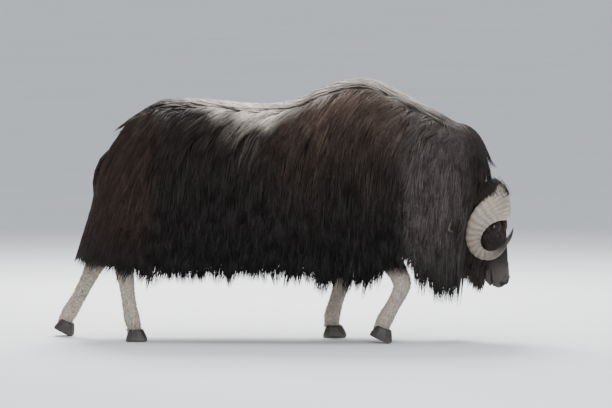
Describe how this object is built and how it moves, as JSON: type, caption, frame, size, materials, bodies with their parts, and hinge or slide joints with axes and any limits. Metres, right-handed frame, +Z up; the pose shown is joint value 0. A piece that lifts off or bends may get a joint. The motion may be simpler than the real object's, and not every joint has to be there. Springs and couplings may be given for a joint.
{
  "type": "muskox",
  "caption": "Life-size still model of a muskox bull walking with a low head, long hanging coat of overlapping locks, downcurved horns and cloven hooves.",
  "frame": {"origin": "on the floor under the middle of the whole animal's box", "axes": "+X towards the nose, +Y to the animal's left, +Z up"},
  "size_m": [2.3486, 0.7416, 1.3222],
  "materials": {
    "coat": "long coarse hair",
    "saddle": "pale worn hair",
    "face": "short dense hair",
    "stocking": "short pale hair",
    "horn": "ridged horn, smooth dark tips",
    "hoof": "worn hoof",
    "eye": "wet dark eye"
  },
  "bodies": {
    "root": {"rump": "coat", "barrel": "saddle", "shoulders": "coat", "neck": "coat", "tail": "coat", "head": "face", "horn_right": "horn", "ear_right": "face", "eye_right": "eye", "horn_left": "horn", "ear_left": "face", "eye_left": "eye", "foreleg_right": "stocking", "hoof_foreleg_right": "hoof", "foreleg_left": "stocking", "hoof_foreleg_left": "hoof", "hindleg_right": "stocking", "hoof_hindleg_right": "hoof", "hindleg_left": "stocking", "hoof_hindleg_left": "hoof"}
  },
  "joints": []
}
